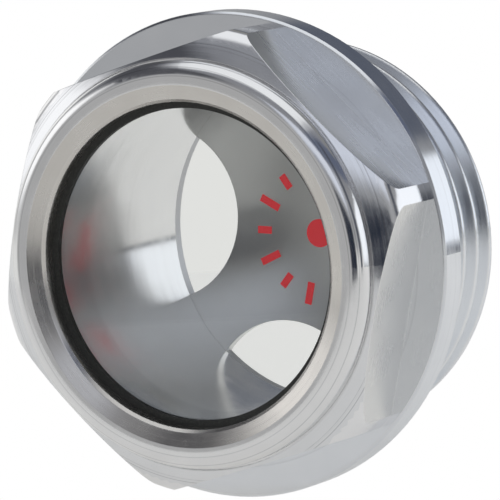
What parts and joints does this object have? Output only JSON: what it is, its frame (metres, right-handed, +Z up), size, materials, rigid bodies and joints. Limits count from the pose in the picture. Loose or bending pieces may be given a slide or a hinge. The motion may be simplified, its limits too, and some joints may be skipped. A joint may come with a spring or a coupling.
{
  "type": "oil sight glass",
  "caption": "Screw-in oil sight glass: aluminium hexagon body with flange and threaded neck, rolled lip round a clear window, ported reflector plate behind.",
  "frame": {"origin": "on the axis, in the plane of the flange face that seats on the tank wall", "axes": "+Y along the axis from the window into the tank, +Z up, +X to the right seen from the window"},
  "size_m": [0.04, 0.0253, 0.04],
  "materials": {
    "aluminium_body": "bright turned and milled",
    "front_seal_rubber": "matt black",
    "window_glass": "clear polished",
    "rear_seal_rubber": "matt black",
    "reflector_aluminium": "satin",
    "red_ink": "printed ink"
  },
  "bodies": {
    "root": {"body": "aluminium_body", "front_seal": "front_seal_rubber", "glass": "window_glass", "rear_seal": "rear_seal_rubber", "reflector": "reflector_aluminium", "mark_dot": "red_ink", "mark_tick_1": "red_ink", "mark_tick_2": "red_ink", "mark_tick_3": "red_ink", "mark_tick_4": "red_ink", "mark_tick_5": "red_ink", "mark_tick_6": "red_ink"}
  },
  "joints": []
}
